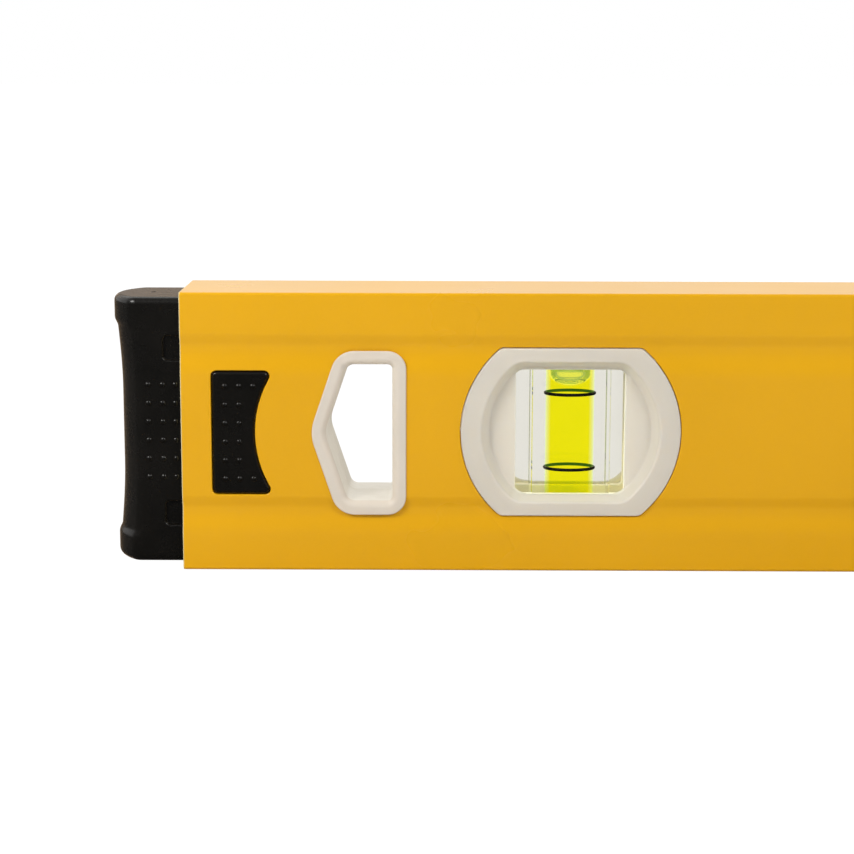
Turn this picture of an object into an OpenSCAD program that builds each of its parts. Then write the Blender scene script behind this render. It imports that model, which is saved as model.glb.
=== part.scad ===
// Box-beam spirit level with two plumb vials, a centre level vial, two hand holds and
// removable end caps held by sprung latch pads.
// Origin: middle of the length and of the thickness, on the bottom measuring face.
// +X runs along the beam, -Y is the front face, +Z is up.

/* [Beam] */
// Length of the aluminium beam, without its end caps
beam_l = 600; // [400:10:1200]
// Height of the beam, from measuring face to measuring face
beam_h = 60; // [60:1:64]
// Thickness of the beam, from front face to back face
beam_t = 25; // [25:0.5:28]
// Wall thickness of the extrusion
beam_wall = 1.8; // [1.6:0.1:2]
// Outside radius of the four long edges
beam_edge_r = 1; // [0.5:0.1:1.6]
// Distance of each shallow valley from the middle of the face
valley_z = 17.5; // [17:0.1:18]
// Depth of the valleys
valley_d = 0.55; // [0.3:0.05:0.6]
// Radius of the round valley floor
valley_r = 12.7; // [10:0.1:14]

/* [End caps] */
// How far a cap stands out of the beam
cap_out = 15.3; // [12:0.1:18]
// Thickness of the soft end of the cap
cap_t = 21; // [20:0.1:21.2]
// Height of the soft end of the cap
cap_h = 57.4; // [56:0.1:58]
// Radius of the bowed end of the cap, seen from above
cap_bow_r = 14; // [13:0.1:20]
// Radius where the bowed end meets the faces
cap_corner_r = 3; // [1:0.1:4]
// How far the waist of the cap is set back from its two shoulders
cap_waist = 1.2; // [0.5:0.1:1.5]
// Height of each shoulder
cap_shoulder = 6.2; // [4:0.1:8]
// Depth of the hard plug inside the beam
plug_l = 24; // [23:0.1:25]
// Height of the hard plug
plug_h = 56; // [55:0.1:56]

/* [Latch] */
// Near edge of the latch window, from the end of the beam
latch_x0 = 6.5; // [6:0.1:7]
// Half height of the latch window
latch_z = 13.4; // [12:0.1:13.4]
// Radius of the scooped side of the window
scoop_r = 23.6; // [22:0.1:26]
// Distance of the scoop's centre from the end of the beam
scoop_x = 39.4; // [39:0.1:42]
// Travel of a latch pad
latch_travel = 2.4; // [2:0.1:2.5]

/* [Hand hold] */
// Overlap of the liner's flange on the beam
hold_lap = 1.4; // [1:0.1:1.6]
// Width of the liner's flange
hold_flange = 3; // [2.6:0.1:3.2]
// How far the flange stands proud of the face
hold_proud = 0.4; // [0.2:0.1:0.6]

/* [Vials] */
// Distance of each plumb vial from the end of the beam
vial_x = 83; // [75:1:120]
// Radius of the round sides of a vial housing
housing_r = 23.4; // [22:0.1:24]
// Half height of a vial housing
housing_z = 18.2; // [17.6:0.1:19]
// Bore of a vial
vial_d = 10; // [9:0.1:10]
// Distance of each ring from the middle of a vial
ring_at = 8.25; // [7:0.05:8.5]
// Height of the plumb vials' middle above the middle of the beam
plumb_dz = -0.8; // [-0.8:0.1:0.8]
// Height of the centre vial's axis above the middle of the beam
level_dz = 4; // [3:0.1:4]

/* [Hidden] */

eps = 0.01;
left = -1;
right = 1;
front = -1;
back = 1;
beam_colour = [0.90, 0.66, 0.13];
rubber_colour = [0.10, 0.10, 0.09];
plug_colour = [0.16, 0.16, 0.16];
shell_colour = [0.85, 0.82, 0.77];
acrylic_colour = [0.85, 0.88, 0.87, 0.4];
spirit_colour = [0.93, 0.89, 0.08, 0.8];
bubble_colour = [0.85, 0.95, 0.75, 0.6];
steel_colour = [0.65, 0.66, 0.68];

// Beam: the ribs are the backs of the valleys, standing into the hollow.
inner_y = beam_t / 2 - beam_wall;
rib_h = 0.45;
rib_r = 10.2;

// Cap: the plug's sides carry channels that clear the ribs.
plug_t = 20.8;
plug_skin = 1.5;
plug_core_x = 3;
plug_core_z = 16.3;
channel_z = [15.3, 20.5];
channel_floor = 9.5;
channel_x0 = -3.8;
spigot = [9, 13, 44];
spigot_gap = 0.05;
cap_end_r = 2;
dot_r = 0.8;
dot_sink = 0.45;
dot_x = [-7.1, -4.05, -1.3];
dot_z = [-10, -6, -2, 2, 6, 10];
vent_d = 0.9;
vent_x = -6.9;
vent_depth = 3;

// Latch: a pad is a face that fills the window and a wider foot behind the wall.
latch_corner_r = 1.2;
pad_gap = 0.2;
pad_foot_grow = 1;
pad_foot_y = [8.3, 10.3];
pocket_grow = 1.3;
pocket_floor = 5.3;
pad_dot_x = [9.4, 12.4, 15.4];
spring_x = 11.5;
spring_r = 3.6;
wire_r = 0.4;
spring_turns = 6;
spring_pocket_r = 4.3;

// Hand hold: corners of the flange as [x, z, radius], anticlockwise from the apex.
hold_corners = [[27.4, 0, 8.8], [33.4, -17.7, 5], [48, -17.7, 4], [48, 17.7, 4], [33.4, 17.7, 5]];
liner_wall = hold_flange - hold_lap - 0.1;

// Vial: a clear block with a thicker core, held between the two halves of its housing.
housing_corner_r = 2;
housing_gap = 0.15;
recess_d = 2.6;
recess_top = [19, 15.3];
recess_floor = [17.3, 13.9];
window = [23.4, 27.1];
window_dz = -0.35;
window_r = 1;
core = [16.7, 18];
flange_t = 15;
block_w = 26;
block_l = 32.4;
block_gap = 0.05;
bore_bottom = -14.7;
spirit_top = 14.8;
ring_w = 0.7;
ring_h = 0.65;
fit = 0.02;
chamber_r = 4.3;
chamber_z = [-14.3, 14.5];
bubble_gap = 0.1;
plumb_bubble_h = 5.2;
plumb_bubble_edge = 2.2;
level_bubble_r = 2.8;
level_bubble_l = 15;
level_bubble_rise = 1.75;
level_block_top = 17 - level_dz;
level_block_foot = 13 + level_dz;
bezel = [27, 15];
bezel_wall = 2;
bezel_r = 3;
tab_reach = 1;
tab_y = [9, 10.6];
tab_z = 4;
shell_wall = 1.5;

// ---- shapes shared by the sub-parts ----

function unit(v) = v / norm(v);

// Points along an arc, from angle a0 to angle a1.
function arc(c, r, a0, a1, n) =
    [for (i = [0 : n]) c + r * [cos(a0 + (a1 - a0) * i / n), sin(a0 + (a1 - a0) * i / n)]];

// Angle of the outward normal of the edge from a to b, on an anticlockwise outline.
function normal_angle(a, b) = atan2(a[0] - b[0], b[1] - a[1]);

// One rounded corner at b, moved inwards by inset along its own centre.
function corner_arc(a, b, c, r, inset, n) =
    let (u = unit(a - b),
         v = unit(c - b),
         half = acos(u * v) / 2,
         centre = b + unit(u + v) * r / sin(half),
         a0 = normal_angle(a, b),
         turn = (normal_angle(b, c) - a0 + 360) % 360)
    arc(centre, r - inset, a0, a0 + turn, n);

function xy(p) = [p[0], p[1]];

// Anticlockwise outline from corners [x, y, radius], moved inwards by inset.
function rounded(corners, inset = 0, n = 8) =
    let (m = len(corners))
    [for (i = [0 : m - 1])
        each corner_arc(xy(corners[(i + m - 1) % m]), xy(corners[i]), xy(corners[(i + 1) % m]),
                        corners[i][2], inset, n)];

function box_corners(w, h, r) =
    [[-w / 2, -h / 2, r], [w / 2, -h / 2, r], [w / 2, h / 2, r], [-w / 2, h / 2, r]];

// Circle cut off flat above and below, with rounded corners.
function barrel(r, z, corner, n = 24) =
    let (cz = z - corner,
         cx = sqrt(pow(r - corner, 2) - cz * cz),
         a = atan2(cz, cx))
    concat(arc([0, 0], r, -a, a, n),
           arc([cx, cz], corner, a, 90, 6),
           arc([-cx, cz], corner, 90, 180 - a, 6),
           arc([0, 0], r, 180 - a, 180 + a, n),
           arc([-cx, -cz], corner, 180 + a, 270, 6),
           arc([cx, -cz], corner, 270, 360 - a, 6));

// Latch window: a rounded rectangle with one scooped side, grown outwards by grow.
function latch_outline(grow) =
    let (r = latch_corner_r,
         z = latch_z - r,
         x0 = latch_x0 + r,
         x1 = scoop_x - sqrt(pow(scoop_r + r, 2) - z * z),
         a = atan2(z, scoop_x - x1))
    concat(arc([x0, -z], r + grow, 180, 270, 6),
           arc([x1, -z], r + grow, 270, 360 + a, 10),
           arc([scoop_x, 0], scoop_r - grow, 180 + a, 180 - a, 24),
           arc([x1, z], r + grow, -a, 90, 10),
           arc([x0, z], r + grow, 90, 180, 6));

// Extrudes an outline in X and Z from y0 to y1.
module slab(y0, y1) {
    translate([0, y1, 0])
        rotate([90, 0, 0])
            linear_extrude(y1 - y0)
                children();
}

// Draws something made for the left end at either end.
module at_end(side) {
    if (side == left)
        translate([-beam_l / 2, 0, beam_h / 2]) children();
    else
        mirror([1, 0, 0]) translate([-beam_l / 2, 0, beam_h / 2]) children();
}

// Draws something made for the front at the front or the back.
module on_face(face) {
    if (face == front)
        children();
    else
        mirror([0, 1, 0]) children();
}

module centred_box(size) {
    translate(-size / 2) cube(size);
}

// ---- beam ----

module beam_section() {
    difference() {
        polygon(rounded(box_corners(beam_t, beam_h, beam_edge_r)));
        for (sy = [-1, 1], sz = [-1, 1])
            translate([sy * (beam_t / 2 - valley_d + valley_r), sz * valley_z])
                circle(valley_r, $fn = 96);
        difference() {
            square([2 * inner_y, beam_h - 2 * beam_wall], center = true);
            for (sy = [-1, 1], sz = [-1, 1])
                translate([sy * (inner_y - rib_h + rib_r), sz * valley_z])
                    circle(rib_r, $fn = 96);
        }
    }
}

module beam_cuts() {
    slab(-beam_t, beam_t) polygon(latch_outline(0));
    slab(-beam_t, beam_t) polygon(rounded(hold_corners, hold_lap));
    translate([vial_x, 0, 0])
        slab(-beam_t, beam_t) polygon(barrel(housing_r, housing_z, housing_corner_r));
}

module beam() {
    color(beam_colour)
        difference() {
            translate([0, 0, beam_h / 2])
                rotate([90, 0, 90])
                    linear_extrude(beam_l, center = true)
                        beam_section();
            for (side = [left, right])
                at_end(side) beam_cuts();
            translate([0, 0, beam_h / 2])
                slab(-beam_t, beam_t) polygon(barrel(housing_r, housing_z, housing_corner_r));
            translate([0, 0, beam_h - 2 * beam_wall])
                linear_extrude(3 * beam_wall)
                    polygon(rounded(box_corners(bezel[0] + 0.2, bezel[1] + 0.2, bezel_r + 0.1)));
        }
}

// ---- end caps ----

// Plan of the soft end: a bowed end with rounded corners and two flat sides.
module bumper_plan(shift) {
    y = cap_t / 2 - cap_corner_r;
    bow_x = cap_bow_r - cap_out + shift;
    corner_x = bow_x - sqrt(pow(cap_bow_r - cap_corner_r, 2) - y * y);
    a = atan2(y, bow_x - corner_x);
    polygon(concat(arc([corner_x, y], cap_corner_r, 90, 180 - a, 6),
                   arc([bow_x, 0], cap_bow_r, 180 - a, 180 + a, 24),
                   arc([corner_x, -y], cap_corner_r, 180 + a, 270, 6),
                   [[0, -cap_t / 2], [0, cap_t / 2]]));
}

module rib_channels(x0, length) {
    for (sy = [-1, 1], sz = [-1, 1])
        translate([x0, sy > 0 ? channel_floor : -cap_t, sz > 0 ? channel_z[0] : -channel_z[1]])
            cube([length, cap_t - channel_floor, channel_z[1] - channel_z[0]]);
}

module bumper() {
    waist_h = cap_h - 2 * cap_shoulder;
    color(rubber_colour)
        difference() {
            union() {
                for (z = [-cap_h / 2, cap_h / 2 - cap_shoulder])
                    translate([0, 0, z]) linear_extrude(cap_shoulder) bumper_plan(0);
                translate([0, 0, -waist_h / 2]) linear_extrude(waist_h) bumper_plan(cap_waist);
                for (x = dot_x, z = dot_z, sy = [-1, 1])
                    translate([x, sy * (cap_t / 2 - dot_sink), z]) sphere(dot_r, $fn = 24);
            }
            rib_channels(channel_x0, 2 * cap_out);
            translate([-spigot[0] - spigot_gap,
                       -spigot[1] / 2 - spigot_gap,
                       -spigot[2] / 2 - spigot_gap])
                cube([spigot[0] + 1, spigot[1] + 2 * spigot_gap, spigot[2] + 2 * spigot_gap]);
            for (sz = [-1, 1])
                translate([-cap_out + cap_end_r, 0, sz * (cap_h / 2 - cap_end_r)])
                    end_rounding(sz);
            translate([vent_x, 0, cap_h / 2 - vent_depth])
                cylinder(h = vent_depth + 1, d = vent_d, $fn = 24);
        }
}

// Takes off the outer corner of a cap, leaving a round of radius cap_end_r.
module end_rounding(sz) {
    difference() {
        translate([-3 * cap_end_r, -cap_t, sz > 0 ? 0 : -3 * cap_end_r])
            cube([3 * cap_end_r, 2 * cap_t, 3 * cap_end_r]);
        translate([0, 1.5 * cap_t, 0])
            rotate([90, 0, 0])
                cylinder(h = 3 * cap_t, r = cap_end_r, $fn = 48);
    }
}

module plug() {
    core_h = plug_h / 2 - plug_skin - plug_core_z;
    core_y = channel_floor - plug_skin;
    color(plug_colour)
        difference() {
            union() {
                translate([0, -plug_t / 2, -plug_h / 2]) cube([plug_l, plug_t, plug_h]);
                translate([-spigot[0], -spigot[1] / 2, -spigot[2] / 2])
                    cube([spigot[0] + 1, spigot[1], spigot[2]]);
            }
            rib_channels(-eps, plug_l + 1);
            for (face = [front, back])
                on_face(face)
                    slab(-cap_t, -pocket_floor) polygon(latch_outline(pocket_grow));
            translate([spring_x, cap_t / 2, 0])
                rotate([90, 0, 0])
                    cylinder(h = cap_t, r = spring_pocket_r, $fn = 48);
            for (z = [plug_core_z, -plug_core_z - core_h])
                translate([plug_core_x, -core_y, z]) cube([plug_l, 2 * core_y, core_h]);
        }
}

module latch_pad(face) {
    color(rubber_colour)
        on_face(face) {
            slab(-beam_t / 2, -pad_foot_y[1] + eps) polygon(latch_outline(-pad_gap));
            slab(-pad_foot_y[1], -pad_foot_y[0]) polygon(latch_outline(pad_foot_grow));
            for (i = [0 : 2], z = dot_z)
                if (i < 2 || abs(z) > 9)
                    translate([pad_dot_x[i], -beam_t / 2 + dot_sink, z]) sphere(dot_r, $fn = 24);
        }
}

// Height along the spring's axis at turn t: the end turns lie flat, the rest are open.
function spring_rise(t, turns, length) =
    let (dead = 2 * wire_r,
         open = (length - 3 * dead) / (turns - 2))
    t < 1 ? t * dead : t > turns - 1 ? length - dead - (turns - t) * dead : dead + (t - 1) * open;

module latch_spring() {
    length = 2 * pad_foot_y[0] - 0.1;
    sides = 8;
    per_turn = 14;
    rings = spring_turns * per_turn;
    points = [for (i = [0 : rings])
                 let (a = 360 * i / per_turn,
                      y = wire_r - length / 2 + spring_rise(i / per_turn, spring_turns, length))
                 for (k = [0 : sides - 1])
                     let (r = spring_r + wire_r * cos(360 * k / sides))
                     [r * cos(a), y + wire_r * sin(360 * k / sides), r * sin(a)]];
    walls = [for (i = [0 : rings - 1], k = [0 : sides - 1])
                 let (k2 = (k + 1) % sides)
                 [i * sides + k, i * sides + k2, (i + 1) * sides + k2, (i + 1) * sides + k]];
    ends = [[for (k = [sides - 1 : -1 : 0]) k], [for (k = [0 : sides - 1]) rings * sides + k]];
    color(steel_colour)
        translate([spring_x, 0, 0])
            polyhedron(points, concat(walls, ends));
}

// ---- hand hold liners ----

module hold_liner(face) {
    color(shell_colour)
        on_face(face)
            difference() {
                union() {
                    slab(-beam_t / 2 - hold_proud, -beam_t / 2) polygon(rounded(hold_corners, 0));
                    slab(-beam_t / 2, 0) polygon(rounded(hold_corners, hold_flange - liner_wall));
                }
                slab(-beam_t, 1) polygon(rounded(hold_corners, hold_flange));
            }
}

// ---- vials ----

// The clear block, with its bore along Z at the origin. low and high are its reach in X.
module block_solid(low, high, grow) {
    translate([-core[0] / 2 - grow, -core[1] / 2 - grow, -block_l / 2 - grow])
        cube([core[0] + 2 * grow, core[1] + 2 * grow, block_l + 2 * grow]);
    translate([-low - grow, -flange_t / 2 - grow, -block_l / 2 - grow])
        cube([low + high + 2 * grow, flange_t + 2 * grow, block_l + 2 * grow]);
}

module vial_block(low, high) {
    color(acrylic_colour)
        difference() {
            block_solid(low, high, 0);
            translate([0, 0, bore_bottom]) cylinder(h = block_l, d = vial_d, $fn = 64);
            for (s = [-1, 1])
                translate([0, 0, s * ring_at - ring_h / 2])
                    cylinder(h = ring_h, d = vial_d + 2 * ring_w, $fn = 64);
        }
}

module plumb_block() {
    vial_block(block_w / 2, block_w / 2);
}

module level_vial_block() {
    vial_block(level_block_foot, level_block_top);
}

module vial_rings() {
    color(rubber_colour)
        for (s = [-1, 1])
            translate([0, 0, s * ring_at - ring_h / 2 + fit])
                difference() {
                    cylinder(h = ring_h - 2 * fit, d = vial_d + 2 * ring_w - 2 * fit, $fn = 64);
                    translate([0, 0, -1]) cylinder(h = ring_h + 2, d = vial_d, $fn = 64);
                }
}

module vial_stopper() {
    color(acrylic_colour)
        translate([0, 0, spirit_top + fit])
            cylinder(h = block_l / 2 - spirit_top - fit, d = vial_d - 2 * fit, $fn = 64);
}

module plumb_bubble() {
    r = chamber_r - bubble_gap;
    half = plumb_bubble_h / 2;
    side = rounded([[-r, -half, plumb_bubble_edge], [r, -half, plumb_bubble_edge],
                    [r, half, plumb_bubble_edge], [-r, half, plumb_bubble_edge]]);
    color(bubble_colour)
        translate([0, 0, chamber_z[1] - bubble_gap - half])
            rotate_extrude($fn = 64)
                intersection() {
                    polygon(side);
                    translate([0, -half - 1]) square([2 * r, 2 * half + 2]);
                }
}

module plumb_spirit() {
    color(spirit_colour)
        difference() {
            translate([0, 0, bore_bottom + fit])
                cylinder(h = spirit_top - bore_bottom - fit, d = vial_d - 2 * fit, $fn = 64);
            translate([0, 0, chamber_z[0]])
                cylinder(h = chamber_z[1] - chamber_z[0], r = chamber_r, $fn = 64);
        }
}

// A round bar with round ends, along Z, raised towards the top of the level vial.
module capsule(r, length) {
    translate([level_bubble_rise, 0, 0]) {
        translate([0, 0, r - length / 2]) cylinder(h = length - 2 * r, r = r, $fn = 48);
        for (s = [-1, 1])
            translate([0, 0, s * (length / 2 - r)]) sphere(r, $fn = 48);
    }
}

module level_bubble_solid() {
    color(bubble_colour) capsule(level_bubble_r, level_bubble_l);
}

module level_spirit_solid() {
    color(spirit_colour)
        difference() {
            translate([0, 0, bore_bottom + fit])
                cylinder(h = spirit_top - bore_bottom - fit, d = vial_d - 2 * fit, $fn = 64);
            capsule(level_bubble_r + bubble_gap, chamber_z[1] - chamber_z[0]);
        }
}

// Dished front of a housing: a cone trimmed by two sloping planes.
module recess() {
    y1 = -beam_t / 2 + recess_d;
    slope_r = recess_top[0] - recess_floor[0];
    slope_z = recess_top[1] - recess_floor[1];
    intersection() {
        translate([0, y1, 0])
            rotate([90, 0, 0])
                cylinder(h = 2 * recess_d, r1 = recess_floor[0], r2 = recess_floor[0] + 2 * slope_r,
                         $fn = 96);
        translate([-housing_r, 0, 0])
            rotate([90, 0, 90])
                linear_extrude(2 * housing_r)
                    polygon([[y1, -recess_floor[1]],
                             [y1, recess_floor[1]],
                             [y1 - 2 * recess_d, recess_floor[1] + 2 * slope_z],
                             [y1 - 2 * recess_d, -recess_floor[1] - 2 * slope_z]]);
    }
}

// Front half of a housing, from the face to the middle plane. children() is the block space.
module housing_half(open_w, open_h, open_z = 0) {
    difference() {
        union() {
            slab(-beam_t / 2, 0)
                polygon(barrel(housing_r - housing_gap, housing_z - housing_gap,
                               housing_corner_r - housing_gap));
            intersection() {
                slab(-tab_y[1], -tab_y[0]) circle(housing_r + tab_reach, $fn = 96);
                centred_box([4 * housing_r, beam_t, 2 * tab_z]);
            }
        }
        recess();
        translate([0, 0, open_z])
            slab(-beam_t, -flange_t / 2) polygon(rounded(box_corners(open_w, open_h, window_r)));
        children();
        translate([0, eps, 0]) side_cavities();
    }
}

// Hollows beside the block space, open towards the middle plane.
module side_cavities() {
    for (s = [-1, 1])
        intersection() {
            slab(-beam_t / 2 + recess_d + shell_wall, 0)
                polygon(barrel(housing_r - shell_wall, housing_z - shell_wall, 1));
            translate([s * (block_l / 2 + shell_wall + housing_r), 0, 0])
                centred_box([2 * housing_r, beam_t, 4 * housing_z]);
        }
}

module plumb_housing(face) {
    color(shell_colour)
        on_face(face)
            housing_half(window[0], window[1], window_dz)
                upright() block_solid(block_w / 2, block_w / 2, block_gap);
}

// A plumb vial stands upright, with its middle a little below the middle of the beam.
module upright() {
    translate([0, 0, plumb_dz]) children();
}

// The level vial lies on its side: its bore runs along X and its flanges reach up and down.
module laid() {
    translate([0, 0, level_dz]) rotate([0, -90, 0]) children();
}

module level_housing(face) {
    color(shell_colour)
        on_face(face)
            housing_half(window[1], window[0]) {
                laid() block_solid(level_block_foot, level_block_top, block_gap);
                linear_extrude(2 * housing_z)
                    polygon(rounded(box_corners(bezel[0], bezel[1], bezel_r), bezel_wall));
            }
}

module level_bezel() {
    low = housing_z - housing_gap;
    color(shell_colour)
        translate([0, 0, low])
            linear_extrude(beam_h / 2 - low)
                difference() {
                    polygon(rounded(box_corners(bezel[0], bezel[1], bezel_r)));
                    polygon(rounded(box_corners(bezel[0], bezel[1], bezel_r), bezel_wall));
                }
}

module plumb_at(side) {
    at_end(side) translate([vial_x, 0, 0]) children();
}

module level_at() {
    translate([0, 0, beam_h / 2]) children();
}

beam();

at_end(left) bumper();  // left_cap_bumper
at_end(left) plug();  // left_cap_plug
at_end(left) latch_pad(front);  // left_latch_pad_front
at_end(left) latch_pad(back);  // left_latch_pad_back
at_end(left) latch_spring();  // left_latch_spring
at_end(right) bumper();  // right_cap_bumper
at_end(right) plug();  // right_cap_plug
at_end(right) latch_pad(front);  // right_latch_pad_front
at_end(right) latch_pad(back);  // right_latch_pad_back
at_end(right) latch_spring();  // right_latch_spring

at_end(left) hold_liner(front);  // left_hold_liner_front
at_end(left) hold_liner(back);  // left_hold_liner_back
at_end(right) hold_liner(front);  // right_hold_liner_front
at_end(right) hold_liner(back);  // right_hold_liner_back

plumb_at(left) plumb_housing(front);  // left_plumb_housing_front
plumb_at(left) plumb_housing(back);  // left_plumb_housing_back
plumb_at(left) upright() plumb_block();  // left_plumb_block
plumb_at(left) upright() plumb_spirit();  // left_plumb_spirit
plumb_at(left) upright() plumb_bubble();  // left_plumb_bubble
plumb_at(left) upright() vial_rings();  // left_plumb_rings
plumb_at(left) upright() vial_stopper();  // left_plumb_stopper
plumb_at(right) plumb_housing(front);  // right_plumb_housing_front
plumb_at(right) plumb_housing(back);  // right_plumb_housing_back
plumb_at(right) upright() plumb_block();  // right_plumb_block
plumb_at(right) upright() plumb_spirit();  // right_plumb_spirit
plumb_at(right) upright() plumb_bubble();  // right_plumb_bubble
plumb_at(right) upright() vial_rings();  // right_plumb_rings
plumb_at(right) upright() vial_stopper();  // right_plumb_stopper

level_at() level_housing(front);  // level_housing_front
level_at() level_housing(back);  // level_housing_back
level_at() laid() level_vial_block();  // level_block
level_at() laid() level_spirit_solid();  // level_spirit
level_at() laid() level_bubble_solid();  // level_bubble
level_at() laid() vial_rings();  // level_rings
level_at() laid() vial_stopper();  // level_stopper
level_at() level_bezel();  // level_top_bezel
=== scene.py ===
"""Looks for a box-beam spirit level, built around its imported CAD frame.

Shapes are written in millimetres and turned into metres as their meshes are made. Lamps, camera
and stage are in metres.
"""

import math

import bmesh
import bpy
from mathutils import Matrix, Vector
from mathutils.geometry import delaunay_2d_cdt


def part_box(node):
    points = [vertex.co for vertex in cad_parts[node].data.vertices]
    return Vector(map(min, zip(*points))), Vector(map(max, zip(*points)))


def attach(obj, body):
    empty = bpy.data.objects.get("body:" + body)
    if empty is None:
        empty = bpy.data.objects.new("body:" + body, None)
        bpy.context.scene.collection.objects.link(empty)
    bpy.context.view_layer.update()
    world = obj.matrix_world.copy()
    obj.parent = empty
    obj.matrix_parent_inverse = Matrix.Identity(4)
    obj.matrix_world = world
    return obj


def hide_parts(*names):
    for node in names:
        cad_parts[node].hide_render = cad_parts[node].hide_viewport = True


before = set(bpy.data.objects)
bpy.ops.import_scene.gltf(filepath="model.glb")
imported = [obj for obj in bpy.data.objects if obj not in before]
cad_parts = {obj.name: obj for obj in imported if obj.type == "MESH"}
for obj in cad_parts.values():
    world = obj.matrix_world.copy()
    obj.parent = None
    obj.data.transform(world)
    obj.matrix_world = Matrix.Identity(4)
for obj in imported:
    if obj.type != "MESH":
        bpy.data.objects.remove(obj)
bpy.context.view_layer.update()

# ---------------------------------------- places, from the frame
MM = 0.001
BEAM_LO, BEAM_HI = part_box("beam")
HALF_L = (BEAM_HI.x - BEAM_LO.x) / 2 / MM
HALF_T = (BEAM_HI.y - BEAM_LO.y) / 2 / MM
HALF_H = (BEAM_HI.z - BEAM_LO.z) / 2 / MM
MID_Z = (BEAM_HI.z + BEAM_LO.z) / 2 / MM
SIDES = {"left": -1, "right": 1}
FACES = {"front": -1, "back": 1}


def centre_of(node):
    lo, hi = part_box(node)
    return (lo + hi) / 2 / MM


def span(node, axis):
    """Half the length of a node's box along an axis."""
    lo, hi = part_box(node)
    return (hi[axis] - lo[axis]) / 2 / MM


X, Y, Z = 0, 1, 2
VIAL_X = centre_of("left_plumb_housing_front").x + HALF_L
CAP_OUT = 2 * span("left_cap_bumper", X)
CAP_HALF_H = span("left_cap_bumper", Z)
PLUMB_Z = centre_of("left_plumb_block").z
LEVEL_Z = centre_of("level_spirit").z
BLOCK_HALF_L = span("left_plumb_block", Z)
BORE_R = span("left_plumb_spirit", X)
SPIRIT_HALF_L = span("left_plumb_spirit", Z)
SPIRIT_MID = centre_of("left_plumb_spirit").z - PLUMB_Z
RING_R = span("left_plumb_rings", X)
RING_WIRE = (RING_R - BORE_R) / 2
RING_AT = span("left_plumb_rings", Z) - RING_WIRE

# ---------------------------------------- sizes of the shapes
# The beam. A valley is (top, top of its floor, end of its floor, bottom), from mid-height. The
# paint goes round the edges by PAINT_EDGE; within SAWN of an end the metal is bare.
WALL = 1.8
EDGE_R = 0.65
INNER_R = 0.02
VALLEY_D = 0.55
VALLEYS = ((21.5, 18.4, 17.8, 12.2), (-13.4, -16.5, -17.0, -22.0))
VALLEY_STEPS = 28
PAINT_EDGE = 0.22
SAWN = 0.18

# The latch window, from the beam's end and from mid-height.
LATCH_X0 = 6.5
LATCH_Z = 13.4
LATCH_CORNER = 1.2
SCOOP_R = 23.6
SCOOP_X = 39.4

# The hand hold: (x from the beam's end, height from mid-height, corner radius).
HOLD_CORNERS = [
    (27.4, 0, 8.8),
    (33.4, -17.7, 5),
    (48, -17.7, 4),
    (48, 17.7, 4),
    (33.4, 17.7, 5),
]
HOLD_LAP = 1.4
HOLD_GAP = 0.1
HOLD_FLANGE = 3.0
HOLD_PROUD = 0.4
HOLD_DROP = 0.95

# A vial housing and its recess. RECESS_TOP and RECESS_FLOOR are (radius, half height) where the
# slope starts and ends; RECESS_SLOPE is (share of the way in, depth) down it, and WINDOW_EDGE
# (inset, depth) over the edge of the window.
HOUSING_R = 23.55
HOUSING_UP = 0.22
HOUSING_Z = 18.2
HOUSING_CORNER = 2
HOUSING_EDGE = 0.22
SEAM = 0.15
RECESS_D = 2.6
RECESS_TOP = (19, 15.15)
RECESS_FLOOR = (17.3, 13.9)
RECESS_CORNER = 4.5
RECESS_SLOPE = (
    (-0.25, 0), (-0.08, 0.06), (0.06, 0.22), (0.2, 0.5), (0.85, 2.2), (0.97, 2.47), (1.15, 2.6),
)
WINDOW = (23.4, 27.1)
WINDOW_DZ = -0.35
WINDOW_CORNER = 1.0
WINDOW_EDGE = ((-0.14, 0), (-0.04, 0.04), (0, 0.16))
REAR_WIDER = 0.75
REAR_LOWER = 0.4
POCKET_TOP = 7.55
POCKET_GAP = 0.05
POCKET_CORNER = 0.3

# The clear block, how far it stands towards the middle, and the spirit in it.
CORE = (16.7, 18.0)
FLANGE_T = 15.0
BLOCK_FLANGE = 13.0
BLOCK_EDGE = 0.22
VIAL_SHIFT = 0.3
SPIRIT_SWELL = 0.3
SPIRIT_EDGE = ((0.4, 0.0), (0.1, 0.12), (0.0, 0.4))

# The sight window on top: (length, width, corner radius).
BEZEL = (27, 15, 3)
BEZEL_GAP = 0.1

# The grip dots: domes that stand in rows.
DOT_R = 0.8
DOT_SINK = 0.45
DOT_Z = (-10, -6, -2, 2, 6, 10)


# ---------------------------------------- outlines
def arc(cx, cy, r, a0, a1, n):
    steps = [math.radians(a0 + (a1 - a0) * i / n) for i in range(n + 1)]
    return [(cx + r * math.cos(a), cy + r * math.sin(a)) for a in steps]


def rounded(corners, inset=0.0, n=8):
    """Anticlockwise outline from (x, y, radius) corners, moved inwards by inset."""
    out = []
    for i, (bx, by, r) in enumerate(corners):
        b = Vector((bx, by))
        a = Vector(corners[i - 1][:2])
        c = Vector(corners[(i + 1) % len(corners)][:2])
        u, v = (a - b).normalized(), (c - b).normalized()
        half = u.angle(v) / 2
        centre = b + (u + v).normalized() * r / math.sin(half)
        start = math.degrees(math.atan2(a.x - b.x, b.y - a.y))
        end = math.degrees(math.atan2(b.x - c.x, c.y - b.y))
        out += arc(centre.x, centre.y, r - inset, start, start + (end - start) % 360, n)
    return out


def box_outline(w, h, r, inset=0.0, n=8):
    x, y = w / 2, h / 2
    return rounded([(-x, -y, r), (x, -y, r), (x, y, r), (-x, y, r)], inset, n)


def moved(outline, dx, dy):
    return [(x + dx, y + dy) for x, y in outline]


def circle(r, n):
    return arc(0, 0, r, 0, 360 * (n - 1) / n, n - 1)


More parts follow.
